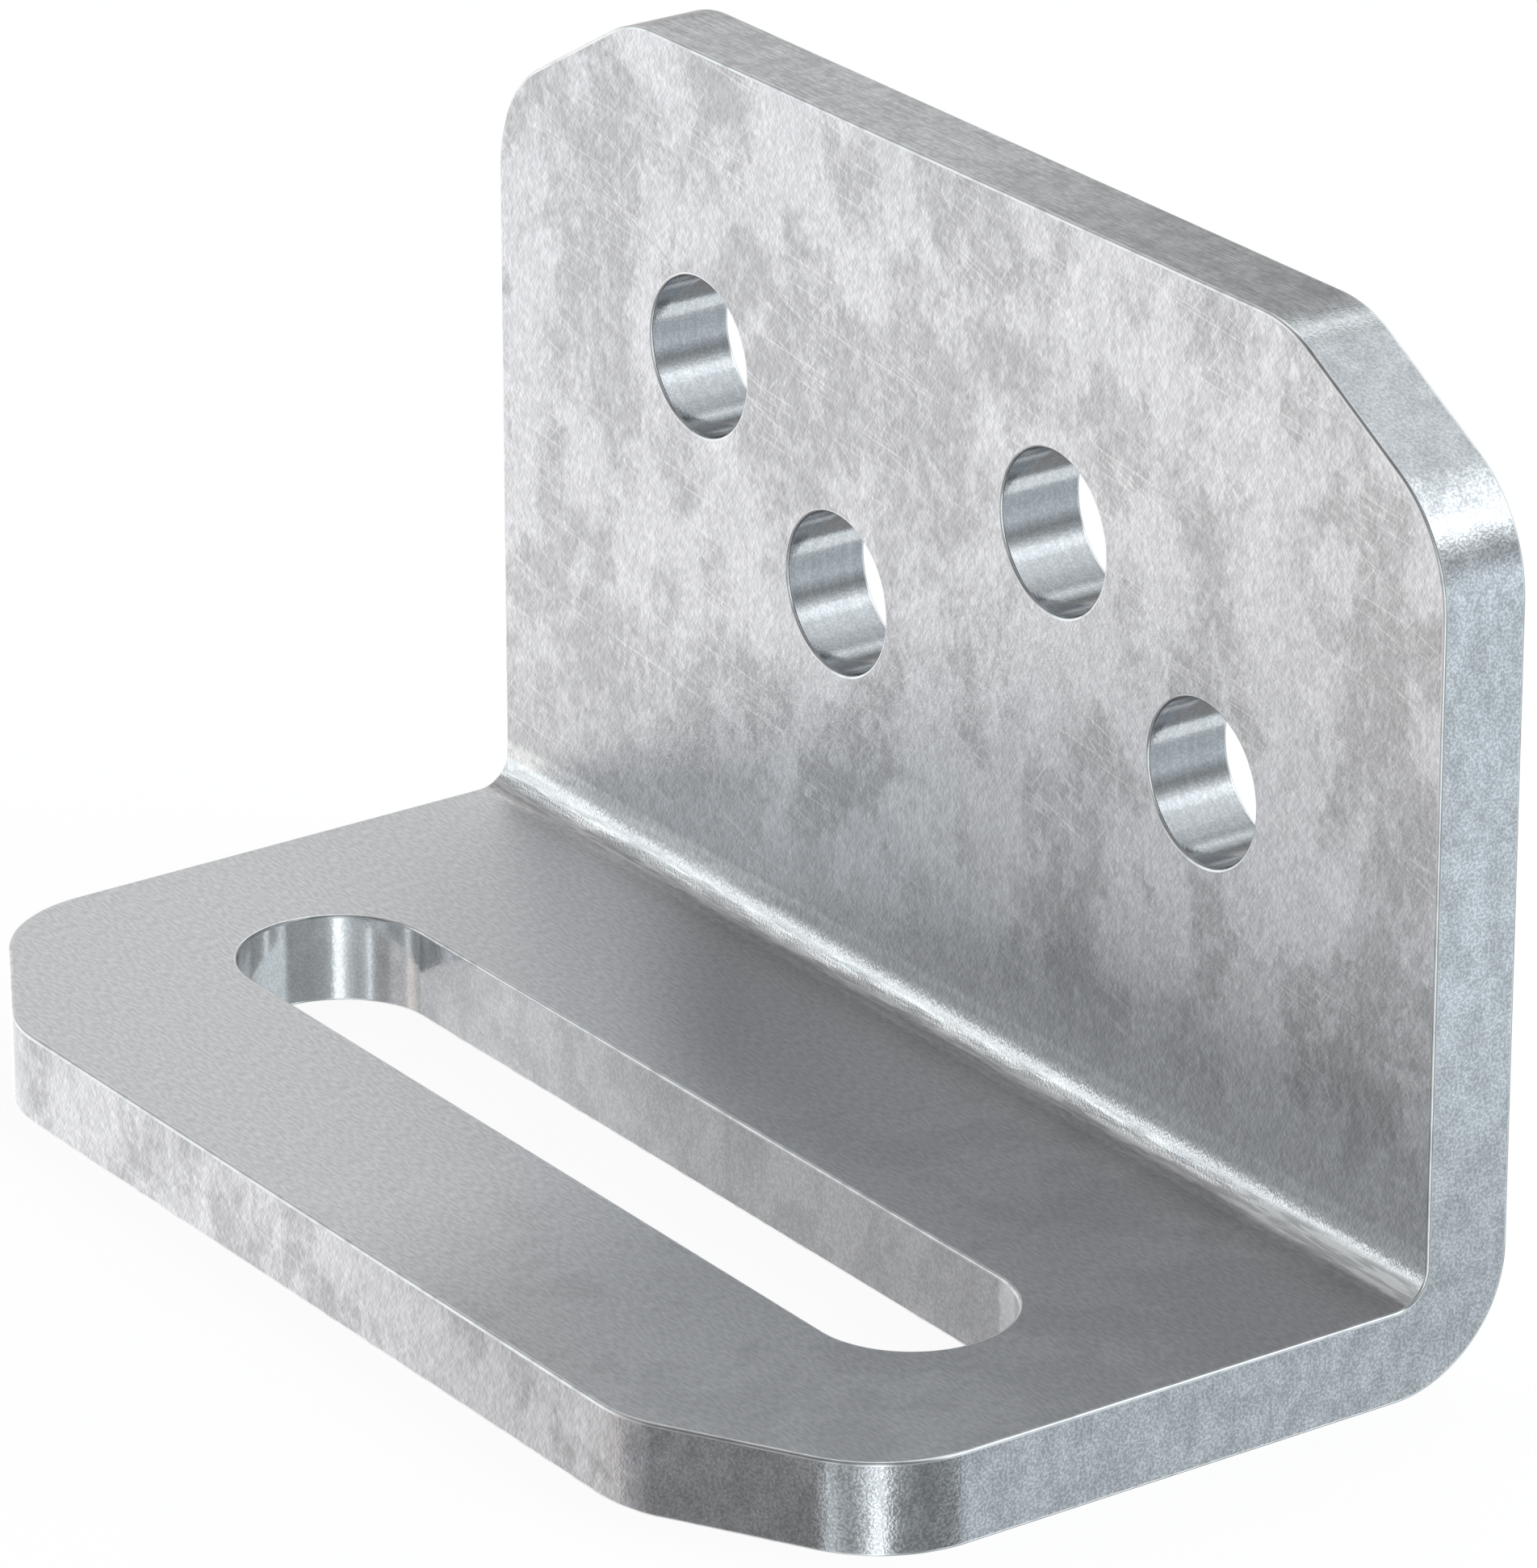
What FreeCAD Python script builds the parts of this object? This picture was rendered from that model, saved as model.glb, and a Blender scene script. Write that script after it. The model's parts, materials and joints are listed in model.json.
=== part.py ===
import FreeCAD, Part
import math
import os
import Sketcher

# Connection plate: one flat steel blank with snipped and rounded corners, a long slot in the
# base leg and four bolt holes in the upright leg, folded once to a right angle.
# X runs along the bend, the base leg reaches towards -Y, the upright leg stands at +Y, Z is up.
# The origin lies under the middle of the plate, on the plane that the base rests on.

Vec = FreeCAD.Vector
ORIGIN = (-1, 1)
START = 1
END = 2
CENTRE = 3

# Driving sizes in millimetres, and one angle in degrees.
SIZES = {
    "plate_width": (130, "along the bend"),
    "plate_thickness": (8, "of the sheet, the same in both legs"),
    "base_depth": (71, "front edge of the base to the back of the upright"),
    "upright_height": (84, "underside of the base to the top of the upright"),
    "bend_inner_radius": (3, "inside the fold"),
    "corner_cut_length": (20, "taken off the end of each long edge at a snipped corner"),
    "corner_cut_angle": (30, "degrees between a snipped corner and the long edge"),
    "corner_rounding": (12, "radius at both ends of each snipped corner"),
    "slot_width": (17, "across the slot in the base"),
    "slot_length": (100, "over the slot's round ends"),
    "slot_setback": (30, "front edge of the base to the slot's centre line"),
    "bolt_hole_diameter": (14, "clearance for an M12 bolt"),
    "bolt_spacing": (50, "between the two holes of a row"),
    "row_shift": (10, "middle of each row to the middle of the plate, one row each way"),
    "upper_row_height": (57, "underside of the base to the upper row"),
    "lower_row_height": (42, "underside of the base to the lower row"),
    "edge_break": (0.2, "width of the bevel left on every edge by deburring"),
}
CORNER_DROP = "sizes.corner_cut_length * tan(sizes.corner_cut_angle * 1 deg)"


def make_sheet(doc):
    """The spreadsheet that holds the driving sizes, one to a row."""
    sheet = doc.addObject("Spreadsheet::Sheet", "sizes")
    for row, (alias, (value, note)) in enumerate(SIZES.items(), start=1):
        sheet.set(f"A{row}", alias)
        sheet.set(f"B{row}", str(value))
        sheet.set(f"C{row}", note)
        sheet.setAlias(f"B{row}", alias)
    doc.recompute()
    return sheet


def add_sketch(body, name, role, lift=None):
    """A sketch on one of the body's origin planes, lifted off it by an expression."""
    plane = next(p for p in body.Origin.OriginFeatures if p.Role == role)
    sketch = body.newObject("Sketcher::SketchObject", name)
    sketch.AttachmentSupport = [(plane, "")]
    sketch.MapMode = "FlatFace"
    if lift:
        sketch.setExpression("AttachmentOffset.Base.z", lift)
    return sketch


def add_line(sketch, start, end):
    """A straight side between two points."""
    return sketch.addGeometry(Part.LineSegment(Vec(*start, 0), Vec(*end, 0)), False)


def add_loop(sketch, points):
    """Closed straight sides through the points, joined end to end."""
    first = sketch.GeometryCount
    for start, end in zip(points, points[1:] + points[:1]):
        add_line(sketch, start, end)
    for side in range(len(points)):
        following = (side + 1) % len(points)
        join(sketch, (first + side, END), (first + following, START))
    return first


def add_arc(sketch, centre, radius, from_degrees, to_degrees):
    """An arc that runs anticlockwise between two directions."""
    circle = Part.Circle(Vec(*centre, 0), Vec(0, 0, 1), radius)
    ends = (math.radians(from_degrees), math.radians(to_degrees))
    return sketch.addGeometry(Part.ArcOfCircle(circle, *ends), False)


def add_circle(sketch, centre, radius):
    """A full circle."""
    return sketch.addGeometry(Part.Circle(Vec(*centre, 0), Vec(0, 0, 1), radius), False)


def join(sketch, first, second):
    """Two points become one."""
    sketch.addConstraint(Sketcher.Constraint("Coincident", *first, *second))


def touch(sketch, first, second):
    """Two sides meet smoothly at their ends."""
    sketch.addConstraint(Sketcher.Constraint("Tangent", *first, *second))


def square_up(sketch, level=(), upright=()):
    """Keeps sides parallel to the sketch's own axes."""
    for side in level:
        sketch.addConstraint(Sketcher.Constraint("Horizontal", side))
    for side in upright:
        sketch.addConstraint(Sketcher.Constraint("Vertical", side))


def size(sketch, kind, items, name, expression):
    """A dimension of the sketch that follows the sheet."""
    value = float(sketch.evalExpression(expression))
    index = sketch.addConstraint(Sketcher.Constraint(kind, *items, value))
    sketch.renameConstraint(index, name)
    sketch.setExpression(f"Constraints.{name}", expression)


def edges_where(shape, wanted):
    """Names of the edges of a shape that a test picks out."""
    return [f"Edge{i}" for i, edge in enumerate(shape.Edges, start=1) if wanted(edge)]


def cut_through(body, sketch, name, both_ways=False):
    """A pocket that goes right through the sheet, away from the sketch's own direction."""
    pocket = body.newObject("PartDesign::Pocket", name)
    pocket.Profile = sketch
    pocket.Type = "ThroughAll"
    pocket.Midplane = both_ways
    return pocket


def fold_sheet(body, sheet):
    """The L section of the folded sheet, with both arcs about one centre, along the width."""
    thick = sheet.plate_thickness
    inner = sheet.bend_inner_radius
    outer = inner + thick
    front = -sheet.base_depth / 2
    back = sheet.base_depth / 2
    top = sheet.upright_height
    centre = (back - outer, outer)

    sketch = add_sketch(body, "fold_section", "YZ_Plane")
    underside = add_line(sketch, (front, 0), (centre[0], 0))
    outer_arc = add_arc(sketch, centre, outer, -90, 0)
    back_side = add_line(sketch, (back, outer), (back, top))
    top_side = add_line(sketch, (back, top), (back - thick, top))
    inner_side = add_line(sketch, (back - thick, top), (back - thick, outer))
    inner_arc = add_arc(sketch, centre, inner, -90, 0)
    base_top = add_line(sketch, (centre[0], thick), (front, thick))
    front_side = add_line(sketch, (front, thick), (front, 0))

    touch(sketch, (underside, END), (outer_arc, START))
    touch(sketch, (outer_arc, END), (back_side, START))
    join(sketch, (back_side, END), (top_side, START))
    join(sketch, (top_side, END), (inner_side, START))
    touch(sketch, (inner_side, END), (inner_arc, END))
    touch(sketch, (inner_arc, START), (base_top, START))
    join(sketch, (base_top, END), (front_side, START))
    join(sketch, (front_side, END), (underside, START))
    join(sketch, (outer_arc, CENTRE), (inner_arc, CENTRE))
    square_up(sketch, level=(underside, base_top, top_side),
              upright=(back_side, inner_side, front_side))
    sketch.addConstraint(Sketcher.Constraint("PointOnObject", underside, START, -1))
    size(sketch, "DistanceX", (underside, START, *ORIGIN), "front_reach", "sizes.base_depth / 2")
    size(sketch, "DistanceX", (front_side, START, back_side, END), "depth", "sizes.base_depth")
    size(sketch, "DistanceY", (front_side, END, back_side, END), "height", "sizes.upright_height")
    size(sketch, "DistanceY", (front_side, END, front_side, START), "thickness",
         "sizes.plate_thickness")
    size(sketch, "Radius", (inner_arc,), "inner_bend", "sizes.bend_inner_radius")

    pad = body.newObject("PartDesign::Pad", "folded_sheet")
    pad.Profile = sketch
    pad.Midplane = True
    pad.setExpression("Length", "sizes.plate_width")
    return pad


def snip_corner(body, name, role, reach, outwards):
    """A triangle cut off the corner of one leg. reach is the leg's free edge above the middle of
    the sketch, as an expression, and outwards is 1, or -1 where that edge lies below it."""
    right = float(body.evalExpression("sizes.plate_width / 2"))
    free_edge = outwards * float(body.evalExpression(reach))
    cut = float(body.evalExpression("sizes.corner_cut_length"))
    drop = outwards * float(body.evalExpression(CORNER_DROP))

    sketch = add_sketch(body, f"{name}_outline", role)
    corner = [(right - cut, free_edge), (right, free_edge), (right, free_edge - drop)]
    long_side = add_loop(sketch, corner)
    end_side = long_side + 1
    square_up(sketch, level=(long_side,), upright=(end_side,))
    size(sketch, "DistanceX", (*ORIGIN, long_side, END), "across", "sizes.plate_width / 2")
    size(sketch, "DistanceY", (*ORIGIN, long_side, END), "up", f"{outwards} * {reach}")
    size(sketch, "DistanceX", (long_side, START, long_side, END), "cut", "sizes.corner_cut_length")
    size(sketch, "DistanceY", (end_side, END, end_side, START), "drop",
         f"{outwards} * {CORNER_DROP}")
    return cut_through(body, sketch, name, both_ways=True)


def shape_corners(body, sheet):
    """All four free corners: one of each leg is snipped, mirrored and then rounded."""
    snips = [
        snip_corner(body, "upright_corner", "XZ_Plane", "sizes.upright_height", 1),
        snip_corner(body, "base_corner", "XY_Plane", "sizes.base_depth / 2", -1),
    ]
    body.Document.recompute()
    mirror = body.newObject("PartDesign::Mirrored", "other_side_corners")
    mirror.Originals = snips
    mirror.MirrorPlane = (next(p for p in body.Origin.OriginFeatures if p.Role == "YZ_Plane"), [""])
    body.Tip = mirror
    body.Document.recompute()

    thick = sheet.plate_thickness

    def crosses_sheet(edge):
        run = edge.Vertexes[-1].Point - edge.Vertexes[0].Point
        return abs(edge.Length - thick) < 1e-6 and abs(run.x) < 1e-6

    rounding = body.newObject("PartDesign::Fillet", "rounded_corners")
    rounding.Base = (mirror, edges_where(mirror.Shape, crosses_sheet))
    rounding.setExpression("Radius", "sizes.corner_rounding")
    return rounding


def cut_slot(body, sheet):
    """The long slot with round ends through the base leg."""
    radius = sheet.slot_width / 2
    run = sheet.slot_length / 2 - radius
    middle = sheet.slot_setback - sheet.base_depth / 2

    sketch = add_sketch(body, "slot_outline", "XY_Plane", lift="sizes.plate_thickness")
    right_end = add_arc(sketch, (run, middle), radius, -90, 90)
    back_side = add_line(sketch, (run, middle + radius), (-run, middle + radius))
    left_end = add_arc(sketch, (-run, middle), radius, 90, 270)
    front_side = add_line(sketch, (-run, middle - radius), (run, middle - radius))
    touch(sketch, (right_end, END), (back_side, START))
    touch(sketch, (back_side, END), (left_end, START))
    touch(sketch, (left_end, END), (front_side, START))
    touch(sketch, (front_side, END), (right_end, START))
    square_up(sketch, level=(back_side,))
    sketch.addConstraint(
        Sketcher.Constraint("Symmetric", left_end, CENTRE, right_end, CENTRE, -2))
    size(sketch, "DistanceX", (left_end, CENTRE, right_end, CENTRE), "centres",
         "sizes.slot_length - sizes.slot_width")
    size(sketch, "Radius", (right_end,), "end_radius", "sizes.slot_width / 2")
    size(sketch, "DistanceY", (right_end, CENTRE, *ORIGIN), "behind_middle",
         "sizes.base_depth / 2 - sizes.slot_setback")
    return cut_through(body, sketch, "long_slot")


def drill_bolt_holes(body, sheet):
    """Two rows of two holes through the upright leg, shifted sideways against each other."""
    face = "-(sizes.base_depth / 2 - sizes.plate_thickness)"
    half_spacing = sheet.bolt_spacing / 2
    sketch = add_sketch(body, "bolt_hole_centres", "XZ_Plane", lift=face)
    for row, towards in (("upper", -1), ("lower", 1)):
        middle = towards * sheet.row_shift
        height = getattr(sheet, f"{row}_row_height")
        left = add_circle(sketch, (middle - half_spacing, height), sheet.bolt_hole_diameter / 2)
        right = add_circle(sketch, (middle + half_spacing, height), sheet.bolt_hole_diameter / 2)
        sketch.addConstraint(Sketcher.Constraint("Horizontal", left, CENTRE, right, CENTRE))
        sketch.addConstraint(Sketcher.Constraint("Equal", left, right))
        size(sketch, "Diameter", (left,), f"{row}_bore", "sizes.bolt_hole_diameter")
        size(sketch, "DistanceX", (left, CENTRE, right, CENTRE), f"{row}_spacing",
             "sizes.bolt_spacing")
        size(sketch, "DistanceX", (*ORIGIN, left, CENTRE), f"{row}_left",
             f"{towards} * sizes.row_shift - sizes.bolt_spacing / 2")
        size(sketch, "DistanceY", (*ORIGIN, left, CENTRE), f"{row}_height",
             f"sizes.{row}_row_height")
    return cut_through(body, sketch, "bolt_holes")


def break_edges(body, pierced):
    """A small bevel on every sharp edge of the finished plate."""
    shape = pierced.Shape

    def outward(face, point):
        surface = face.Surface
        u, v = surface.parameter(point)
        return face.normalAt(u, v)

    def is_sharp(edge):
        middle = edge.valueAt((edge.FirstParameter + edge.LastParameter) / 2)
        faces = [face for face in shape.Faces if any(edge.isSame(e) for e in face.Edges)]
        if len(faces) != 2:
            return False
        return outward(faces[0], middle).dot(outward(faces[1], middle)) < 0.5

    edges = body.newObject("PartDesign::Chamfer", "broken_edges")
    edges.Base = (pierced, edges_where(shape, is_sharp))
    edges.setExpression("Size", "sizes.edge_break")
    return edges


def check_document(doc):
    """Stops on a failed object and on a cut that took nothing away."""
    for item in doc.Objects:
        if "Invalid" in item.State or "Error" in item.State:
            raise RuntimeError(f"{item.Name} is {item.State}")
    for cut in doc.findObjects("PartDesign::Pocket"):
        if cut.Shape.Volume >= cut.BaseFeature.Shape.Volume:
            raise RuntimeError(f"{cut.Name} cuts nothing")


def make_connection_plate(doc, sheet):
    """The whole plate as one body."""
    body = doc.addObject("PartDesign::Body", "connection_plate")
    body.Label = "connection_plate"
    fold_sheet(body, sheet)
    doc.recompute()
    shape_corners(body, sheet)
    doc.recompute()
    cut_slot(body, sheet)
    doc.recompute()
    pierced = drill_bolt_holes(body, sheet)
    doc.recompute()
    break_edges(body, pierced)
    doc.recompute()
    return body


def main():
    doc = FreeCAD.newDocument("connection_plate")
    sheet = make_sheet(doc)
    plate = make_connection_plate(doc, sheet)
    check_document(doc)
    if plate.Shape.isNull() or not plate.Shape.isValid():
        raise RuntimeError("the plate's shape is not valid")
    os.makedirs("parts", exist_ok=True)
    plate.Shape.exportStep(f"parts/{plate.Label}.step")
    box = plate.Shape.optimalBoundingBox()
    print(f"{plate.Label}: {len(plate.Shape.Solids)} solid, {plate.Shape.Volume:.1f} mm3,",
          f"x {box.XMin:.3f} to {box.XMax:.3f}, y {box.YMin:.3f} to {box.YMax:.3f},",
          f"z {box.ZMin:.3f} to {box.ZMax:.3f}")


main()
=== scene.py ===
import json
import math
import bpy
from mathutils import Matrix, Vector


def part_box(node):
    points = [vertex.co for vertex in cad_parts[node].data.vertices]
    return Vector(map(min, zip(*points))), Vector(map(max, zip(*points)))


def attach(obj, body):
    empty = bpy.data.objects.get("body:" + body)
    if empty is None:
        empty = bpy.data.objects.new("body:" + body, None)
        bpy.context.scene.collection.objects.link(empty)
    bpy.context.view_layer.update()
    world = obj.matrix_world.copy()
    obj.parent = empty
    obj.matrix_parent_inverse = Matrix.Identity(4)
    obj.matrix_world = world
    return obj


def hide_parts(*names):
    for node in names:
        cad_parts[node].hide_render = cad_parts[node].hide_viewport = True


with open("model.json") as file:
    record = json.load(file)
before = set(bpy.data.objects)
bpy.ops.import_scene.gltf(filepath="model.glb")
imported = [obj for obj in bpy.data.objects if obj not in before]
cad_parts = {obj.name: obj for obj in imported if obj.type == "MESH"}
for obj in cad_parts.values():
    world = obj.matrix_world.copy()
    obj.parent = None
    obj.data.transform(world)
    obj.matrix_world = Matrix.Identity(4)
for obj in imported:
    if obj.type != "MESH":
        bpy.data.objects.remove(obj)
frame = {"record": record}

from types import SimpleNamespace

import bmesh
import bpy
from bpy.props import FloatProperty, FloatVectorProperty, IntProperty, PointerProperty
from mathutils import Euler, Matrix, Vector

bl_info = {
    "name": "Folded Connection Plate",
    "version": (1, 0, 0),
    "blender": (4, 5, 0),
    "location": "View3D > Sidebar > Plate",
    "description": "Builds a galvanised, folded connection plate and a plain studio round it",
    "category": "Add Mesh",
}

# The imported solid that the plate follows. X runs along the fold, the base leg reaches towards -Y,
# the upright leg stands at +Y and the plate rests on Z = 0. All lengths are in metres.
PLATE_NODE = "connection_plate"
LOW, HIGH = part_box(PLATE_NODE)
MOUNTS = {mount["name"]: mount for mount in frame["record"]["mounts"]}
BOLT_ROWS = ("upper_row", "lower_row")
SLOT = "anchor_slot"
MM = 0.001
MERGE = 0.001 * MM
QUARTER = math.pi / 2
SQUARE_ON = 0.99  # the least part of a normal along an axis that it points along
SHARP_TURN = math.radians(60)  # between two faces whose edge gets broken
PART_FACET = 0.01  # how much of a facet a turn may be over without another one

# The zinc's finish beyond the settings: the material slot of the broken edges, whose pale line is
# a painted highlight, what takes the blue from the faces that lie level, the shade of the upright's
# top edge, and the roughness and metal of the pale matt stretch of painted light in the fold.
SHEEN_EDGE_SLOT = 1
LEVEL_TINT = "#FFFDFB"
CROWN_SHADE = 0.82
PALE_PATCH_ROUGHNESS = 0.5
PALE_PATCH_METAL = 0.55

# The studio's light, set until the plate's edges mirrored what they do in the photograph. A
# level of 1 lights a white card to white. Angles are in degrees.
BRIGHTEST = 2.1
NEUTRAL = "#FFFFFF"
WARM = "#FFF8F2"
COOL = "#F6FDFF"
BLUE = "#EFFAFF"
VIOLET = "#FBFAFF"
# Round the plate, from straight in front towards its right end: a long wall of light on the left
# with a warm strip beside it, a dark front with one thin strip, a bright strip front right, a dim
# right side, and a soft blue light behind that.
PANELS_AROUND = (
    (-180, 0.50, NEUTRAL),
    (-168, 0.20, NEUTRAL),
    (-140, 0.30, NEUTRAL),
    (-122, 1.62, NEUTRAL),
    (-100, 1.05, NEUTRAL),
    (-72, 1.16, NEUTRAL),
    (-60, 1.20, NEUTRAL),
    (-52, 0.78, NEUTRAL),
    (-46, 1.00, WARM),
    (-36, 1.08, WARM),
    (-26, 0.55, NEUTRAL),
    (-14, 0.62, VIOLET),
    (0, 0.31, NEUTRAL),
    (10, 0.34, NEUTRAL),
    (15, 0.50, COOL),
    (19, 1.20, COOL),
    (25, 0.58, COOL),
    (34, 0.48, COOL),
    (42, 0.70, COOL),
    (47, 1.00, COOL),
    (54, 2.00, COOL),
    (59, 1.95, COOL),
    (65, 0.58, COOL),
    (75, 0.42, COOL),
    (90, 0.34, COOL),
    (116, 0.33, COOL),
    (123, 0.84, BLUE),
    (155, 0.78, BLUE),
    (180, 0.50, NEUTRAL),
)
# Over the plate and behind it, from overhead towards the right end.
PANELS_ABOVE = (
    (-180, 0.36, NEUTRAL),
    (-130, 0.34, NEUTRAL),
    (-96, 0.63, NEUTRAL),
    (-80, 0.55, NEUTRAL),
    (-64, 0.98, NEUTRAL),
    (-52, 0.58, NEUTRAL),
    (-45, 0.58, COOL),
    (-38, 1.20, COOL),
    (-32, 1.75, COOL),
    (-26, 2.10, COOL),
    (-21, 1.35, COOL),
    (-14, 0.84, COOL),
    (2, 0.98, COOL),
    (14, 1.22, COOL),
    (34, 1.40, COOL),
    (44, 1.95, COOL),
    (51, 1.95, COOL),
    (58, 1.20, COOL),
    (66, 0.66, COOL),
    (74, 0.46, COOL),
    (84, 0.70, BLUE),
    (92, 0.98, BLUE),
    (114, 0.88, BLUE),
    (124, 0.78, COOL),
    (130, 0.95, COOL),
    (136, 1.50, COOL),
    (150, 1.45, COOL),
    (157, 0.45, COOL),
    (180, 0.40, NEUTRAL),
)
# How far backwards a direction points, as a part of 1, where the panels above and behind take over.
BEHIND_FROM = 0.1
BEHIND_FULL = 0.35
# The height of a direction at which the panels round the plate stay in sight even there, and how far
# off it they start to give way and are gone.
RING_HEIGHT = -0.4
RING_FROM = 0.06
RING_FULL = 0.2
# Heights between which the light of the panels round the plate fades, and what is left of it above.
FRONT_GLOW_TOP = 0.12
FRONT_DARK_FROM = 0.42
FRONT_DARK = 0.42
# A tall light low on the front left, which the fold mirrors as its bright line: the direction across
# it, its level and tint, half of its width without and with its soft sides, the heights over which
# its foot and its top fade, and how far forwards a direction has to point to see all of it.
GLOW_ACROSS = (0.616, -0.788, 0)
GLOW_LEVEL = 1.15
GLOW_TINT = COOL
GLOW_HALF = 0.22
GLOW_SIDE = 0.42
GLOW_FOOT = (-0.27, -0.12)
GLOW_TOP = (0.36, 0.6)
GLOW_FRONT = 0.2


def linear(hex_colour):
    """An sRGB hex colour as the linear colour that shaders work in."""
    channels = [int(hex_colour[i:i + 2], 16) / 255 for i in (1, 3, 5)]
    return [c / 12.92 if c <= 0.04045 else ((c + 0.055) / 1.055) ** 2.4 for c in channels] + [1.0]


class PlateSizes(bpy.types.PropertyGroup):
    """Sizes of the folded sheet."""

    thickness: FloatProperty(
        name="Thickness", description="Of the sheet, the same in both legs",
        default=8 * MM, unit="LENGTH")
    inner_bend: FloatProperty(
        name="Inner bend", description="Radius inside the fold",
        default=3 * MM, unit="LENGTH")
    corner_cut: FloatProperty(
        name="Corner cut", description="Taken off each end of a leg's free edge",
        default=20 * MM, unit="LENGTH")
    corner_angle: FloatProperty(
        name="Corner angle", description="Between a snipped corner and the free edge",
        default=math.radians(30), subtype="ANGLE")
    corner_radius: FloatProperty(
        name="Corner radius", description="Rounding at both ends of a snipped corner",
        default=12 * MM, unit="LENGTH")
    slot_length: FloatProperty(
        name="Slot length", description="Over the slot's round ends",
        default=100 * MM, unit="LENGTH")
    slot_width: FloatProperty(
        name="Slot width", description="Across the slot",
        default=17 * MM, unit="LENGTH")
    edge_break: FloatProperty(
        name="Edge break", description="Radius that deburring leaves on every edge",
        default=0.28 * MM, unit="LENGTH")
    facet_angle: FloatProperty(
        name="Facet angle", description="Largest turn between two facets of a round stretch",
        default=math.radians(2.5), subtype="ANGLE")
    edge_facets: IntProperty(
        name="Edge facets", description="Facets across each broken edge", default=4, min=1)


class ZincFinish(bpy.types.PropertyGroup):
    """Colours and polish of the zinc."""

    plain_zinc: FloatVectorProperty(
        name="Plain zinc", description="Colour of the metal",
        default=linear("#C1C2C5")[:3], subtype="COLOR", min=0, max=1)
    bloomed_zinc: FloatVectorProperty(
        name="Bloomed zinc", description="Colour of the pale clouds",
        default=linear("#E8E9ED")[:3], subtype="COLOR", min=0, max=1)
    scratched_zinc: FloatVectorProperty(
        name="Scratched zinc", description="Colour of the scratches",
        default=linear("#F2F2F4")[:3], subtype="COLOR", min=0, max=1)
    # The colour of painted highlights and painted light: the edges' pale line, the fold and the slot's
    # left end.
    painted_sheen_zinc: FloatVectorProperty(
        name="Burnished zinc", description="Colour of the metal that handling has rubbed",
        default=linear("#F0F1F2")[:3], subtype="COLOR", min=0, max=1)
    bloom_chalk: FloatProperty(
        name="Bloom chalk", description="How much the pale clouds are chalk and not metal",
        default=0.15, min=0, max=1, subtype="FACTOR")
    scratch_strength: FloatProperty(
        name="Scratch strength", description="How far the scratches stand out",
        default=0.55, min=0, max=1, subtype="FACTOR")
    sheet_roughness: FloatProperty(
        name="Sheet roughness", description="Of the brushed faces, front and back",
        default=0.33, min=0, max=1, subtype="FACTOR")
    level_roughness: FloatProperty(
        name="Level roughness", description="Of the faces that lie level",
        default=0.42, min=0, max=1, subtype="FACTOR")
    edge_roughness: FloatProperty(
        name="Edge roughness", description="Of the cut edges and the fold",
        default=0.14, min=0, max=1, subtype="FACTOR")
    bore_roughness: FloatProperty(
        name="Bore roughness", description="Of the walls of the slot and the bolt holes",
        default=0.11, min=0, max=1, subtype="FACTOR")
    grit_height: FloatProperty(
        name="Grit height", description="Height of the fine grit",
        default=0.015 * MM, unit="LENGTH")
    # Length of the patches of the painted highlight on the edges.
    sheen_patch_length: FloatProperty(
        name="Wear length", description="Length of the burnished stretches of an edge",
        default=2 * MM, unit="LENGTH")


class StudioSettings(bpy.types.PropertyGroup):
    """The camera's place and the plain studio."""

    aim: FloatVectorProperty(
        name="Aim", description="Point of the plate at the middle of the picture",
        default=(6.36 * MM, 5.63 * MM, 37.46 * MM), subtype="TRANSLATION")
    distance: FloatProperty(
        name="Distance", description="From that point to the camera",
        default=799.1 * MM, unit="LENGTH")
    azimuth: FloatProperty(
        name="Azimuth", description="Camera's turn from the front towards the plate's right end",
        default=math.radians(54.883), subtype="ANGLE")
    elevation: FloatProperty(
        name="Elevation", description="Camera's height above the horizon",
        default=math.radians(22.759), subtype="ANGLE")
    roll: FloatProperty(
        name="Roll", description="Camera's tilt about its own line of sight",
        default=math.radians(-0.062), subtype="ANGLE")
    focal_length: FloatProperty(
        name="Focal length", description="In millimetres, on a 36 mm sensor",
        default=227.46)
    tent_size: FloatProperty(
        name="Tent size", description="Side and height of the white tent that the plate stands in",
        default=6.0, unit="LENGTH")
    tent_glow: FloatProperty(
        name="Tent glow", description="Share of the tent's white that no shadow takes away",
        default=0.922, min=0, max=1, subtype="FACTOR")
    tent_cloth: FloatProperty(
        name="Tent cloth",
        description="Share of the studio's light that the tent shows, less in a shadow",
        default=0.12, min=0, max=1, subtype="FACTOR")


def add_node(tree, kind, inputs=None, **settings):
    """A shader node with its settings. An input is a value or the output socket that feeds it."""
    node = tree.nodes.new(kind)
    for name, value in settings.items():
        setattr(node, name, value)
    for key, value in (inputs or {}).items():
        if isinstance(value, bpy.types.NodeSocket):
            tree.links.new(value, node.inputs[key])
        else:
            node.inputs[key].default_value = value
    return node


def deselect_all():
    """Nothing stays selected, so that an operator acts only on what is added next."""
    if bpy.context.object and bpy.context.object.mode != "OBJECT":
        bpy.ops.object.mode_set(mode="OBJECT")
    bpy.ops.object.select_all(action="DESELECT")


def edit(piece):
    """Puts one piece alone into edit mode, with faces to select."""
    deselect_all()
    piece.select_set(True)
    bpy.context.view_layer.objects.active = piece
    bpy.ops.object.mode_set(mode="EDIT")
    bpy.ops.mesh.select_mode(type="FACE")


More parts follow.
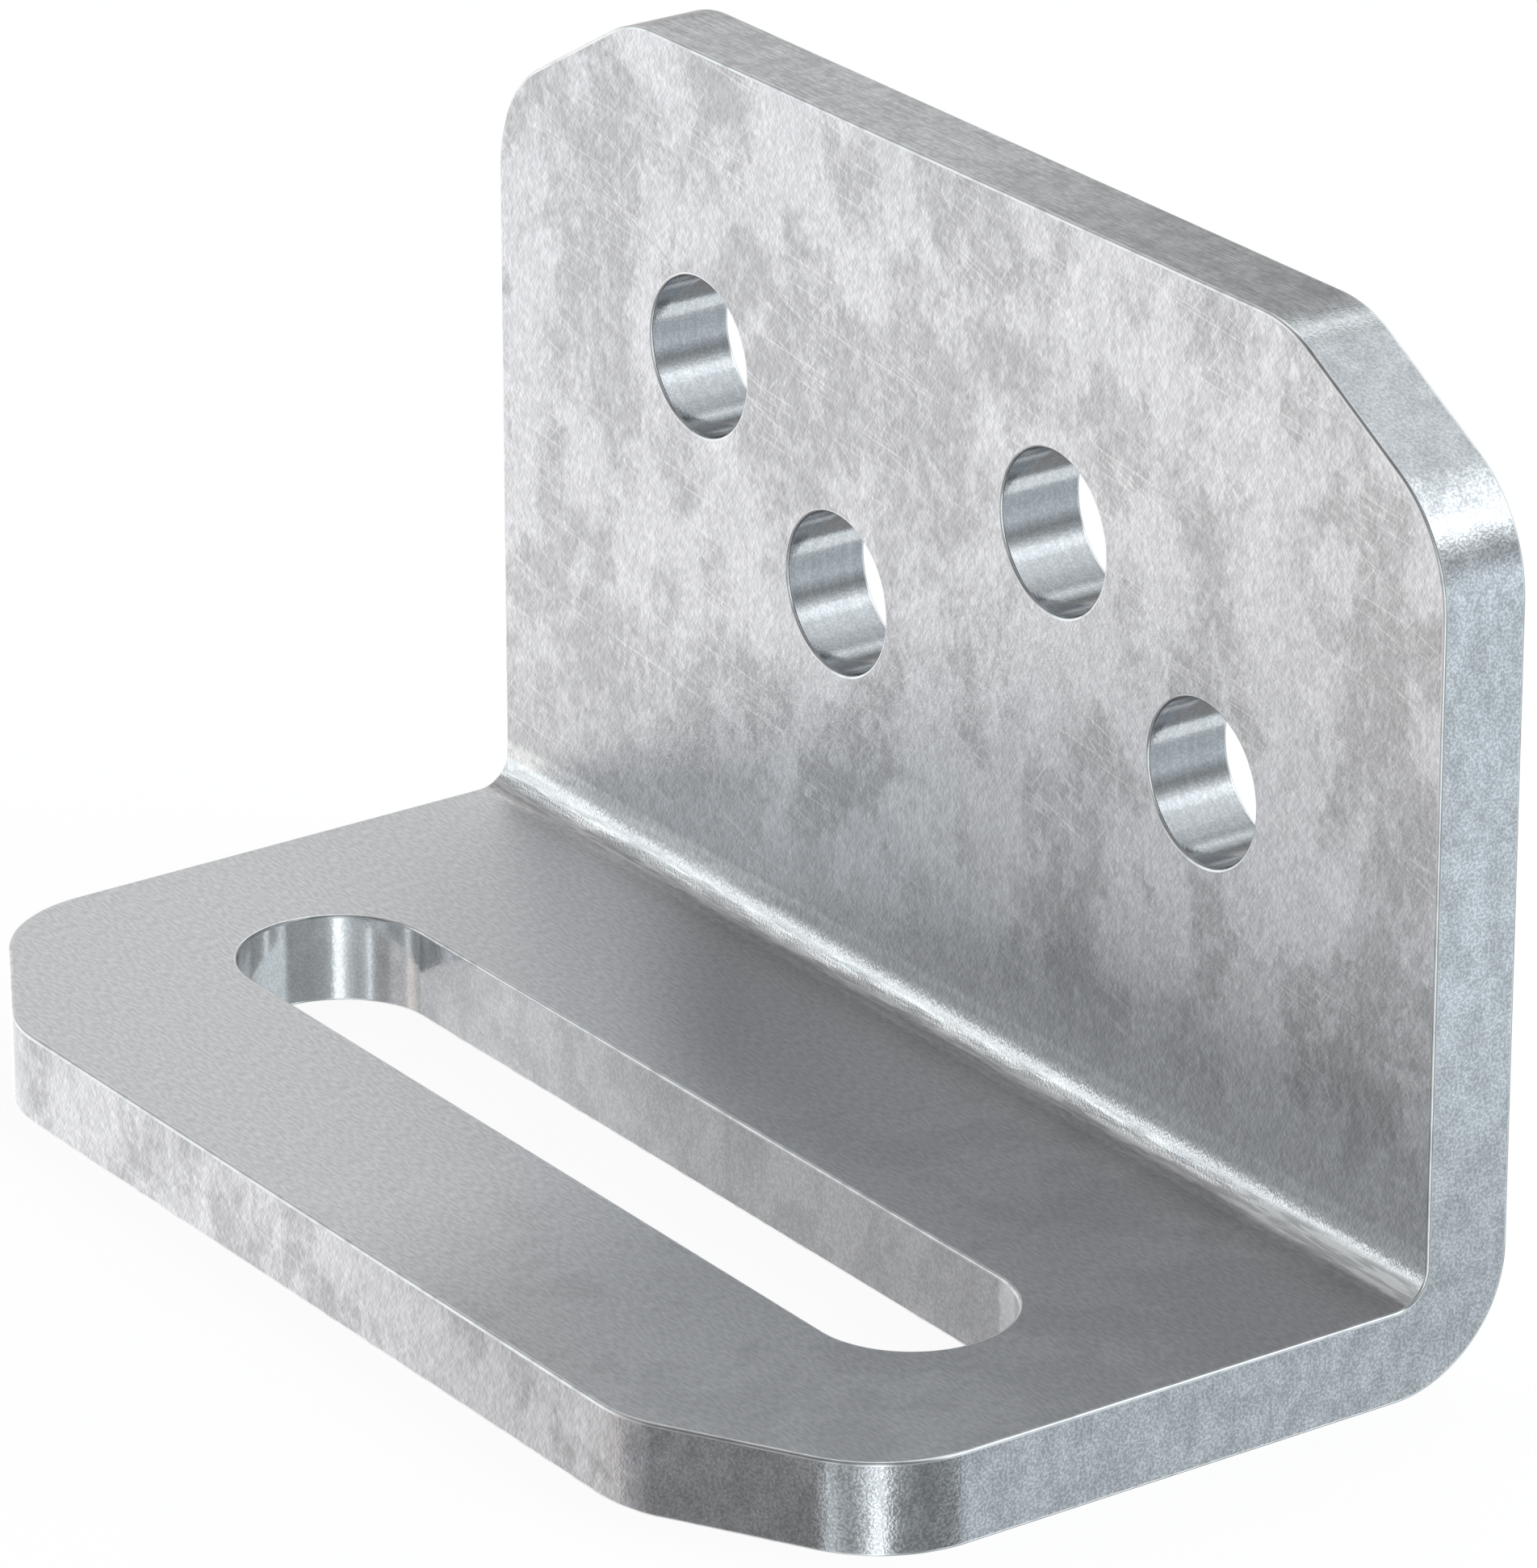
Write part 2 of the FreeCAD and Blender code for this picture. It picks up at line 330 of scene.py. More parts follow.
def select_faces(piece, wanted):
    """In edit mode, selects the faces whose middle and normal pass a test, and no others."""
    shape = bmesh.from_edit_mesh(piece.data)
    chosen = [face for face in shape.faces if wanted(face.calc_center_median(), face.normal)]
    if not chosen:
        raise RuntimeError(f"no face of {piece.name} is where one was expected")
    bpy.ops.mesh.select_all(action="DESELECT")
    for face in chosen:
        face.select_set(True)
    bmesh.update_edit_mesh(piece.data)


def close_up():
    """Merges what meets and turns every face outwards, on the mesh in edit mode."""
    bpy.ops.mesh.select_all(action="SELECT")
    bpy.ops.mesh.remove_doubles(threshold=MERGE)
    bpy.ops.mesh.normals_make_consistent(inside=False)


def cut_blank(name, start, heading, route, thickness, facet_angle):
    """A flat blank, drawn round its outline and then given its thickness. Each stretch of the
    route is a straight run that is extruded, and a left turn of some radius that is spun."""
    deselect_all()
    bpy.ops.mesh.primitive_plane_add(size=MM, location=start)
    piece = bpy.context.object
    piece.name = name
    bpy.ops.object.transform_apply(location=True, rotation=True, scale=True)
    bpy.ops.object.mode_set(mode="EDIT")
    bpy.ops.mesh.select_mode(type="VERT")
    bpy.ops.mesh.select_all(action="SELECT")
    bpy.ops.mesh.merge(type="CENTER")
    place = Vector(start)
    heading = Vector(heading)
    for run, radius, turn in route:
        bpy.ops.mesh.extrude_region_move(TRANSFORM_OT_translate={"value": heading * run})
        place += heading * run
        rotation = Matrix.Rotation(turn, 3, "Z")
        if radius:
            centre = place + Vector((-heading.y, heading.x, 0)) * radius
            steps = math.ceil(turn / facet_angle - PART_FACET)
            bpy.ops.mesh.spin(steps=steps, angle=-turn, center=centre, axis=(0, 0, 1))
            place = centre + rotation @ (place - centre)
        heading = rotation @ heading
    bpy.ops.mesh.select_all(action="SELECT")
    bpy.ops.mesh.remove_doubles(threshold=MERGE)
    bpy.ops.mesh.edge_face_add()
    bpy.ops.mesh.extrude_region_move(TRANSFORM_OT_translate={"value": (0, 0, thickness)})
    close_up()
    return piece


def leg_blank(name, sizes, fold_start, reach):
    """One leg, flat on the floor, from where the fold starts out to its free edge, with its two
    snipped and rounded corners."""
    angle = sizes.corner_angle
    steep = QUARTER - angle
    radius = sizes.corner_radius
    side_rounding = radius * math.tan(steep / 2)
    edge_rounding = radius * math.tan(angle / 2)
    side = reach - sizes.corner_cut * math.tan(angle) - side_rounding
    snip = sizes.corner_cut / math.cos(angle) - side_rounding - edge_rounding
    width = HIGH.x - LOW.x
    free_edge = width - 2 * (sizes.corner_cut + edge_rounding)
    route = [
        (side, radius, steep),
        (snip, radius, angle),
        (free_edge, radius, angle),
        (snip, radius, steep),
        (side, 0, QUARTER),
        (width, 0, QUARTER),
    ]
    start = (LOW.x, fold_start, 0)
    return cut_blank(name, start, (0, -1, 0), route, sizes.thickness, sizes.facet_angle)


def fold_plate(sizes):
    """The folded sheet before it is pierced: the base leg's end face is spun round the fold, and
    the upright leg is a second blank, turned end for end and stood up there."""
    outer_bend = sizes.inner_bend + sizes.thickness
    fold = Vector((0, HIGH.y - outer_bend, outer_bend))
    upright = leg_blank("upright_leg", sizes, fold.y, HIGH.z - outer_bend)
    edit(upright)
    select_faces(upright, lambda middle, normal: normal.y > SQUARE_ON)
    bpy.ops.mesh.delete(type="FACE")
    bpy.ops.mesh.select_all(action="SELECT")
    bpy.ops.transform.rotate(value=math.pi, orient_axis="Z", center_override=fold)
    bpy.ops.transform.rotate(value=-QUARTER, orient_axis="X", center_override=fold)

    plate = leg_blank("galvanised_plate", sizes, fold.y, fold.y - LOW.y)
    edit(plate)
    select_faces(plate, lambda middle, normal: normal.y > SQUARE_ON)
    steps = math.ceil(QUARTER / sizes.facet_angle)
    bpy.ops.mesh.spin(steps=steps, angle=-QUARTER, center=fold, axis=(1, 0, 0))
    bpy.ops.mesh.delete(type="FACE")
    deselect_all()
    upright.select_set(True)
    plate.select_set(True)
    bpy.context.view_layer.objects.active = plate
    bpy.ops.object.join()
    edit(plate)
    close_up()
    deselect_all()
    return plate


def cutters(sizes, finish):
    """What is taken out of the sheet, as one mesh: the slot and the bolt holes. The walls that they
    leave take their materials."""
    radius = sizes.slot_width / 2
    run = sizes.slot_length - sizes.slot_width
    middle = Vector(MOUNTS[SLOT]["pos_m"])
    start = (middle.x - run / 2, middle.y - radius, -sizes.thickness)
    route = [(run, radius, math.pi), (run, radius, math.pi)]
    through = 3 * sizes.thickness
    slot = cut_blank("cutters", start, (1, 0, 0), route, through, sizes.facet_angle)
    slot.data.materials.append(slot_zinc(sizes, finish))
    bore = bore_zinc(finish)
    deselect_all()
    for mount in (MOUNTS[row] for row in BOLT_ROWS):
        for side in (-0.5, 0.5):
            place = Vector(mount["pos_m"])
            place.x += side * mount["dims"]["spacing_x_mm"] * MM
            bpy.ops.mesh.primitive_cylinder_add(
                vertices=round(2 * math.pi / sizes.facet_angle),
                radius=mount["dims"]["hole_r_mm"] * MM, depth=through,
                location=place, rotation=(QUARTER, 0, 0))
            bpy.context.object.data.materials.append(bore)
            slot.select_set(True)
            bpy.context.view_layer.objects.active = slot
            bpy.ops.object.join()
            deselect_all()
    return slot


def apply_modifier(piece, kind, **settings):
    """Adds one modifier with its settings and applies it."""
    modifier = piece.modifiers.new(kind.lower(), kind)
    for name, value in settings.items():
        setattr(modifier, name, value)
    deselect_all()
    piece.select_set(True)
    bpy.context.view_layer.objects.active = piece
    bpy.ops.object.modifier_apply(modifier=modifier.name)


class PLATE_OT_galvanised_plate(bpy.types.Operator):
    """Makes the folded plate, with its slot, bolt holes and broken edges"""

    bl_idname = "plate.galvanised_plate"
    bl_label = "Galvanised Plate"
    bl_options = {"REGISTER", "UNDO"}

    def execute(self, context):
        sizes = context.scene.plate_sizes
        finish = context.scene.plate_finish
        plate = fold_plate(sizes)
        plate.data.materials.append(galvanised_steel(sizes, finish))
        # The broken edges' material, whose pale line is a painted highlight.
        plate.data.materials.append(painted_sheen_zinc(finish))
        tools = cutters(sizes, finish)
        apply_modifier(
            plate, "BOOLEAN", operation="DIFFERENCE", solver="EXACT", object=tools,
            material_mode="TRANSFER")
        bpy.data.objects.remove(tools)
        apply_modifier(
            plate, "BEVEL", width=sizes.edge_break, segments=sizes.edge_facets,
            limit_method="ANGLE", angle_limit=SHARP_TURN, material=SHEEN_EDGE_SLOT)
        deselect_all()
        plate.select_set(True)
        bpy.ops.object.shade_smooth()
        apply_modifier(plate, "WEIGHTED_NORMAL", mode="FACE_AREA", weight=50)
        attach(plate, "root")
        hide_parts(PLATE_NODE)
        return {"FINISHED"}


def empty_material(name):
    """A material whose node tree is still empty, and that tree."""
    material = bpy.data.materials.new(name)
    material.use_nodes = True
    material.node_tree.nodes.clear()
    return material, material.node_tree


def grains(tree, place, size_mm, low, high, bottom=0.0, top=1.0, turn=0.0, detail=2.0, rough=0.5):
    """A pattern of grains of this size along X, Y and Z, turned in the plane of the upright leg. It
    goes smoothly from bottom to top where the noise goes from low to high."""
    laid = add_node(tree, "ShaderNodeMapping", {
        "Vector": place, "Rotation": (0, turn, 0), "Scale": [MM * size for size in size_mm]},
        vector_type="TEXTURE")
    noise = add_node(tree, "ShaderNodeTexNoise", {
        "Vector": laid.outputs["Vector"], "Scale": 1.0, "Detail": detail, "Roughness": rough})
    return add_node(tree, "ShaderNodeMapRange", {
        "Value": noise.outputs["Fac"], "From Min": low, "From Max": high,
        "To Min": bottom, "To Max": top}, interpolation_type="SMOOTHSTEP").outputs["Result"]


def shaded(tree, colour, layers):
    """The colour darkened or brightened by one shade after another, each as far as its share says."""
    for share, shade in layers:
        colour = add_node(tree, "ShaderNodeMix", {
            "Factor": share, "A": colour, "B": shade},
            data_type="RGBA", blend_type="MULTIPLY").outputs["Result"]
    return colour


def plate_points(tree, sizes):
    """What the patterns go by at each point of the plate: its place, how squarely it faces forwards
    or backwards and up or down, and how far it is from two lines along the plate, the sheet's outer
    corner and the middle of its fold."""
    coordinates = add_node(tree, "ShaderNodeTexCoord").outputs
    place = coordinates["Object"]
    spot = add_node(tree, "ShaderNodeSeparateXYZ", {"Vector": place}).outputs
    squareness = add_node(
        tree, "ShaderNodeVectorMath", {0: coordinates["Normal"]}, operation="ABSOLUTE")
    square = add_node(
        tree, "ShaderNodeSeparateXYZ", {"Vector": squareness.outputs["Vector"]}).outputs
    flatness = add_node(tree, "ShaderNodeMath", {
        0: square["Y"], 1: square["Z"]}, operation="MAXIMUM").outputs[0]
    broad, level, sheet = (
        add_node(tree, "ShaderNodeMapRange", {
            "Value": facing, "From Min": 0.8, "From Max": 0.97},
            interpolation_type="SMOOTHSTEP").outputs["Result"]
        for facing in (square["Y"], square["Z"], flatness))
    outer_bend = sizes.inner_bend + sizes.thickness
    across = add_node(
        tree, "ShaderNodeVectorMath", {0: place, 1: (0, 1, 1)}, operation="MULTIPLY")
    from_corner, from_fold = (
        add_node(tree, "ShaderNodeVectorMath", {
            0: across.outputs["Vector"], 1: line}, operation="DISTANCE").outputs["Value"]
        for line in ((0, HIGH.y, LOW.z), (0, HIGH.y - outer_bend, LOW.z + outer_bend)))
    return SimpleNamespace(
        place=place, x=spot["X"], z=spot["Z"], upward=square["Z"], flatness=flatness,
        broad=broad, level=level, sheet=sheet, from_corner=from_corner, from_fold=from_fold)


def pale_bloom(tree, at, clouds):
    """The share of bloom in the broad faces: clouds with wisps in them, and smaller flecks between.
    By the fold they give way to an even pale haze that grows towards the right, a painted light."""
    wisps = grains(tree, at.place, (4, 4, 6), 0.4, 0.58, 0.74, 1.0, detail=5, rough=0.75)
    # An even pale haze by the fold, growing towards the right: painted light.
    painted_fold_haze = add_node(tree, "ShaderNodeMapRange", {
        "Value": at.x, "From Min": -50 * MM, "From Max": -10 * MM, "To Min": 0.1,
        "To Max": 0.8}, interpolation_type="SMOOTHSTEP")
    flecks = grains(tree, at.place, (2, 2, 3), 0.48, 0.62, top=0.48, detail=3, rough=0.7)
    bloom = add_node(tree, "ShaderNodeMath", {0: clouds, 1: wisps}, operation="MULTIPLY")
    bloom = add_node(tree, "ShaderNodeMath", {
        0: bloom.outputs[0], 1: flecks}, operation="MAXIMUM")
    bloom = add_node(tree, "ShaderNodeMapRange", {
        "Value": at.from_corner, "From Min": 12 * MM, "From Max": 25 * MM,
        "To Min": painted_fold_haze.outputs["Result"], "To Max": bloom.outputs[0]},
        interpolation_type="SMOOTHSTEP")
    return add_node(tree, "ShaderNodeMath", {
        0: bloom.outputs["Result"], 1: at.broad}, operation="MULTIPLY").outputs[0]


def stray_scratches(tree, at, strength):
    """The share of scratches, in bunches. Each kind has its length in millimetres, its turn from
    level in degrees and how rare it is. They are drawn 0.2 mm wide, because finer ones wouldn't
    show."""
    scratched = 0.0
    for length, turn, rarity in ((16, 6, 0.63), (12, 17, 0.645), (9, 34, 0.665), (6, -50, 0.68)):
        stray = grains(
            tree, at.place, (length, length, 0.2), rarity, rarity + 0.05, top=at.broad,
            turn=math.radians(turn), detail=1)
        scratched = add_node(tree, "ShaderNodeMath", {
            0: scratched, 1: stray}, operation="MAXIMUM").outputs[0]
    bunches = grains(
        tree, at.place, (13, 13, 13), 0.38, 0.6, 0.3 * strength, strength, detail=1)
    return add_node(tree, "ShaderNodeMath", {
        0: scratched, 1: bunches}, operation="MULTIPLY").outputs[0]


def fold_and_painted_light(tree, at, sizes):
    """The masks of the fold, and the light painted inside it: a painted highlight in streaks, and a
    pale matt stretch of painted light on the lower half of its right end."""
    beside = add_node(tree, "ShaderNodeMapRange", {
        "Value": at.from_fold, "From Min": sizes.inner_bend + 0.02 * MM,
        "From Max": sizes.inner_bend + 0.3 * MM, "To Min": 1.0, "To Max": 0.0},
        interpolation_type="SMOOTHSTEP").outputs["Result"]
    pressed = add_node(tree, "ShaderNodeMapRange", {
        "Value": at.upward, "From Min": 0.7, "From Max": 0.92,
        "To Min": beside, "To Max": 0.0}, interpolation_type="SMOOTHSTEP").outputs["Result"]
    # The painted highlight inside the fold, in streaks.
    streaks = grains(tree, at.place, (7, 0.7, 0.7), 0.4, 0.6, 0.45, 1.0, detail=3, rough=0.7)
    painted_fold_sheen = add_node(tree, "ShaderNodeMath", {
        0: streaks, 1: pressed}, operation="MULTIPLY").outputs[0]
    low_half = add_node(tree, "ShaderNodeMapRange", {
        "Value": at.upward, "From Min": 0.4, "From Max": 0.62, "To Max": beside},
        interpolation_type="SMOOTHSTEP").outputs["Result"]
    low_half = add_node(tree, "ShaderNodeMapRange", {
        "Value": at.upward, "From Min": 0.88, "From Max": 0.96, "To Min": low_half,
        "To Max": 0.0}, interpolation_type="SMOOTHSTEP").outputs["Result"]
    # A pale matt stretch on the lower half of the fold's right end: painted light.
    right_end = add_node(tree, "ShaderNodeMapRange", {
        "Value": at.x, "From Min": 38 * MM, "From Max": 46 * MM},
        interpolation_type="SMOOTHSTEP").outputs["Result"]
    painted_light_patch = add_node(tree, "ShaderNodeMath", {
        0: right_end, 1: low_half}, operation="MULTIPLY").outputs[0]
    return SimpleNamespace(
        beside=beside, pressed=pressed, painted_fold_sheen=painted_fold_sheen, low_half=low_half, painted_light_patch=painted_light_patch)


def crossed_brushing(tree, at):
    """Crossed hairs of brushing: each layer's length in millimetres, its turn from upright in
    degrees and its depth. They are drawn 0.15 mm wide, because finer ones wouldn't show."""
    brushing = None
    for length, turn, depth in ((1.4, 0, 0.07), (0.9, -38, 0.1), (0.9, 30, 0.1)):
        hairs = grains(
            tree, at.place, (0.15, 0.15, length), 0.3, 0.7, 1 - depth, 1 + depth,
            turn=math.radians(turn), detail=1)
        brushing = hairs if brushing is None else add_node(tree, "ShaderNodeMath", {
            0: brushing, 1: hairs}, operation="MULTIPLY").outputs[0]
    return brushing


def painted_level_light(tree, at):
    """Painted light and shade on the level faces, which are paler towards the left and darker to the
    right. By the fold they are palest in a slanting stretch, a painted reflection of the upright."""
    in_the_open = add_node(tree, "ShaderNodeMapRange", {
        "Value": at.x, "From Min": -6 * MM, "From Max": 32 * MM, "To Min": 1.33,
        "To Max": 0.86}, interpolation_type="SMOOTHSTEP").outputs["Result"]
    aslant = add_node(tree, "ShaderNodeVectorMath", {
        0: at.place, 1: (1, 1.42, 0)}, operation="DOT_PRODUCT").outputs["Value"]
    by_fold = add_node(tree, "ShaderNodeMapRange", {
        "Value": aslant, "From Min": -36 * MM, "From Max": -20 * MM, "To Min": 1.28,
        "To Max": 1.45}, interpolation_type="SMOOTHSTEP").outputs["Result"]
    by_fold = add_node(tree, "ShaderNodeMapRange", {
        "Value": aslant, "From Min": -12 * MM, "From Max": 10 * MM, "To Min": by_fold,
        "To Max": 0.81}, interpolation_type="SMOOTHSTEP").outputs["Result"]
    return add_node(tree, "ShaderNodeMapRange", {
        "Value": at.from_corner, "From Min": 26 * MM, "From Max": 44 * MM,
        "To Min": by_fold, "To Max": in_the_open},
        interpolation_type="SMOOTHSTEP").outputs["Result"]


def galvanised_steel(sizes, finish):
    """Hot-dip galvanised steel sheet. The zinc is a soft grey mirror. Where it faces forwards and
    backwards it has pale, cloudy bloom, crossed brushing and stray scratches, on top it has the long
    grain of rolling, and its ends are smoother and sparkle with a fine grit."""
    material, tree = empty_material("galvanised_steel")
    at = plate_points(tree, sizes)
    clouds = grains(
        tree, at.place, (13, 13, 17), 0.447, 0.543, bottom=0.04, detail=8, rough=0.69)
    bloom = pale_bloom(tree, at, clouds)
    fold = fold_and_painted_light(tree, at, sizes)
    colour = [*finish.plain_zinc, 1.0]
    # The bloom, which by the fold is a painted haze, the scratches, and the painted highlight and pale
    # painted light in the fold.
    for cover, zinc in (
            (bloom, finish.bloomed_zinc),
            (stray_scratches(tree, at, finish.scratch_strength), finish.scratched_zinc),
            (fold.painted_fold_sheen, finish.painted_sheen_zinc),
            (fold.painted_light_patch, finish.painted_sheen_zinc)):
        colour = add_node(tree, "ShaderNodeMix", {
            "Factor": cover, "A": colour, "B": [*zinc, 1.0]}, data_type="RGBA").outputs["Result"]

    # The broad faces are brushed. The base's front edge, one of them, is darker to the right: painted
    # shade.
    brushing = crossed_brushing(tree, at)
    low_front = add_node(tree, "ShaderNodeMapRange", {
        "Value": at.z, "From Min": sizes.thickness, "From Max": sizes.thickness + 1 * MM,
        "To Min": at.broad, "To Max": 0.0}).outputs["Result"]
    darker = add_node(tree, "ShaderNodeMapRange", {
        "Value": at.x, "From Min": -8 * MM, "From Max": 30 * MM, "To Min": 0.98,
        "To Max": 0.7}, interpolation_type="SMOOTHSTEP").outputs["Result"]

    # The level faces have the grain of rolling, and faint clouds to the right.
    rolling = grains(tree, at.place, (0.9, 0.25, 0.25), 0.3, 0.7, 0.88, 1.12)
    thin_clouds = add_node(tree, "ShaderNodeMapRange", {
        "Value": clouds, "To Min": 0.97, "To Max": 1.08}).outputs["Result"]
    clouded = add_node(tree, "ShaderNodeMapRange", {
        "Value": at.x, "From Min": -20 * MM, "From Max": 30 * MM, "To Max": at.level},
        interpolation_type="SMOOTHSTEP").outputs["Result"]

    # The cut ends are gritty and patchy, and paler from a little above the base upwards: painted shade
    # that darkens them towards the floor.
    end = add_node(tree, "ShaderNodeMath", {0: at.sheet, 1: fold.beside}, operation="MAXIMUM")
    end = add_node(tree, "ShaderNodeMath", {
        0: 1.0, 1: end.outputs[0]}, operation="SUBTRACT").outputs[0]
    grit = grains(tree, at.place, (0.24, 0.24, 0.24), 0.36, 0.66, 0.8, 1.21)
    patches = grains(
        tree, at.place, (2.5, 2.5, 3.5), 0.38, 0.62, 0.86, 1.1, detail=6, rough=0.74)
    paler = add_node(tree, "ShaderNodeMapRange", {
        "Value": at.z, "From Min": 8 * MM, "From Max": 34 * MM, "To Min": 1.0,
        "To Max": 1.27}, interpolation_type="SMOOTHSTEP").outputs["Result"]

    # The upright's top edge is drawn lengthways, and darker than the base.
    crown = add_node(tree, "ShaderNodeMapRange", {
        "Value": at.z, "From Min": HIGH.z - 1 * MM, "From Max": HIGH.z - 0.5 * MM,
        "To Max": at.level}).outputs["Result"]
    drawn = grains(tree, at.place, (9, 0.16, 0.16), 0.3, 0.7, 0.82, 1.14, detail=2)

    # Streaks of painted light and shade on the lower half of the fold.
    painted_fold_streaks = grains(tree, at.place, (6, 0.45, 0.45), 0.42, 0.58, 0.78, 1.15, detail=2, rough=0.7)
    # Texture and tone, with painted light and shade among them: the ends paler upwards, the level
    # faces' painted light, the base's front edge darker to the right and the fold's painted streaks.
    colour = shaded(tree, colour, (
        (at.broad, brushing),
        (at.level, rolling),
        (clouded, thin_clouds),
        (end, grit),
        (end, patches),
        (end, paler),
        (crown, drawn),
        (crown, patches),
        (crown, [CROWN_SHADE] * 3 + [1.0]),
        (at.level, painted_level_light(tree, at)),
        (at.level, linear(LEVEL_TINT)),
        (low_front, darker),
        (fold.low_half, painted_fold_streaks)))

    polish = add_node(tree, "ShaderNodeMapRange", {
        "Value": at.level, "To Min": finish.sheet_roughness, "To Max": finish.level_roughness})
    roughness = add_node(tree, "ShaderNodeMapRange", {
        "Value": at.flatness, "From Min": 0.97, "From Max": 0.995,
        "To Min": finish.edge_roughness, "To Max": polish.outputs["Result"]},
        interpolation_type="SMOOTHSTEP").outputs["Result"]
    roughness = add_node(tree, "ShaderNodeMapRange", {
        "Value": fold.painted_light_patch, "To Min": roughness, "To Max": PALE_PATCH_ROUGHNESS}).outputs["Result"]
    metallic = add_node(tree, "ShaderNodeMapRange", {
        "Value": bloom, "To Min": 1.0, "To Max": 1.0 - finish.bloom_chalk}).outputs["Result"]
    metallic = add_node(tree, "ShaderNodeMapRange", {
        "Value": fold.painted_light_patch, "To Min": metallic, "To Max": PALE_PATCH_METAL}).outputs["Result"]
    brushed = add_node(tree, "ShaderNodeMath", {
        0: fold.pressed, 1: 3.0, 2: at.broad}, operation="MULTIPLY_ADD").outputs[0]
    gritty = add_node(tree, "ShaderNodeMapRange", {
        "Value": fold.pressed, "To Min": grit, "To Max": 1.0}).outputs["Result"]
    relief = add_node(tree, "ShaderNodeMath", {
        0: brushing, 1: brushed, 2: gritty}, operation="MULTIPLY_ADD").outputs[0]
    bump = add_node(tree, "ShaderNodeBump", {
        "Height": relief, "Strength": 1.0, "Distance": finish.grit_height})
    zinc = add_node(tree, "ShaderNodeBsdfPrincipled", {
        "Base Color": colour, "Metallic": metallic, "Roughness": roughness,
        "Normal": bump.outputs["Normal"]})
    add_node(tree, "ShaderNodeOutputMaterial", {"Surface": zinc.outputs["BSDF"]})
    return material


def painted_sheen_zinc(finish):
    """The zinc on the broken edges, a brighter and smoother metal whose fine pale line round the
    plate is a painted highlight. It is patchy, down to the plain zinc."""
    material, tree = empty_material("painted_sheen_zinc")
    place = add_node(tree, "ShaderNodeTexCoord").outputs["Object"]
    sheen_share = grains(tree, place, [finish.sheen_patch_length / MM] * 3, 0.25, 0.6, 0.25, 0.9, detail=3)
    colour = add_node(tree, "ShaderNodeMix", {
        "Factor": sheen_share, "A": [*finish.plain_zinc, 1.0], "B": [*finish.painted_sheen_zinc, 1.0]},
        data_type="RGBA")
    zinc = add_node(tree, "ShaderNodeBsdfPrincipled", {
        "Base Color": colour.outputs["Result"], "Metallic": 1.0, "Roughness": 0.25})
    add_node(tree, "ShaderNodeOutputMaterial", {"Surface": zinc.outputs["BSDF"]})
    return material


def slot_zinc(sizes, finish):
    """The slot's wall, blanked smooth before the zinc: finely gritted, with faint clouds. It has
    painted light, pale and a little chalky, at the slot's left end, and painted shade towards its
    right."""
    material, tree = empty_material("slot_zinc")
    place = add_node(tree, "ShaderNodeTexCoord").outputs["Object"]
    spot = add_node(tree, "ShaderNodeSeparateXYZ", {"Vector": place}).outputs
    slot = Vector(MOUNTS[SLOT]["pos_m"])
    round_end = slot.x - sizes.slot_length / 2 + sizes.slot_width / 2
    # Painted light at the slot's left end.
    sheen_share = add_node(tree, "ShaderNodeMapRange", {
        "Value": spot["X"], "From Min": round_end - 3 * MM, "From Max": round_end,
        "To Min": 0.76, "To Max": 0.0}, interpolation_type="SMOOTHSTEP").outputs["Result"]
    metallic = add_node(tree, "ShaderNodeMapRange", {
        "Value": spot["X"], "From Min": round_end, "From Max": round_end + 12 * MM,
        "To Min": 0.72, "To Max": 1.0}).outputs["Result"]
    colour = add_node(tree, "ShaderNodeMix", {
        "Factor": sheen_share, "A": [*finish.plain_zinc, 1.0], "B": [*finish.painted_sheen_zinc, 1.0]},
        data_type="RGBA").outputs["Result"]
    # Painted shade towards the slot's right.
    painted_shade_right = add_node(tree, "ShaderNodeMapRange", {
        "Value": spot["X"], "From Min": -30 * MM, "From Max": 5 * MM, "To Min": 1.0,
        "To Max": 0.74}, interpolation_type="SMOOTHSTEP").outputs["Result"]
    clouds = grains(tree, place, (6, 6, 8), 0.42, 0.58, 0.86, 1.02, detail=8, rough=0.7)
    grit = grains(tree, place, (0.24, 0.24, 0.24), 0.38, 0.68, 0.9, 1.1)
    colour = shaded(tree, colour, ((1.0, painted_shade_right), (1.0, clouds), (1.0, grit)))
    bump = add_node(tree, "ShaderNodeBump", {
        "Height": grit, "Strength": 0.6, "Distance": finish.grit_height})
    zinc = add_node(tree, "ShaderNodeBsdfPrincipled", {
        "Base Color": colour, "Metallic": metallic, "Roughness": finish.bore_roughness,
        "Normal": bump.outputs["Normal"]})
    add_node(tree, "ShaderNodeOutputMaterial", {"Surface": zinc.outputs["BSDF"]})
    return material


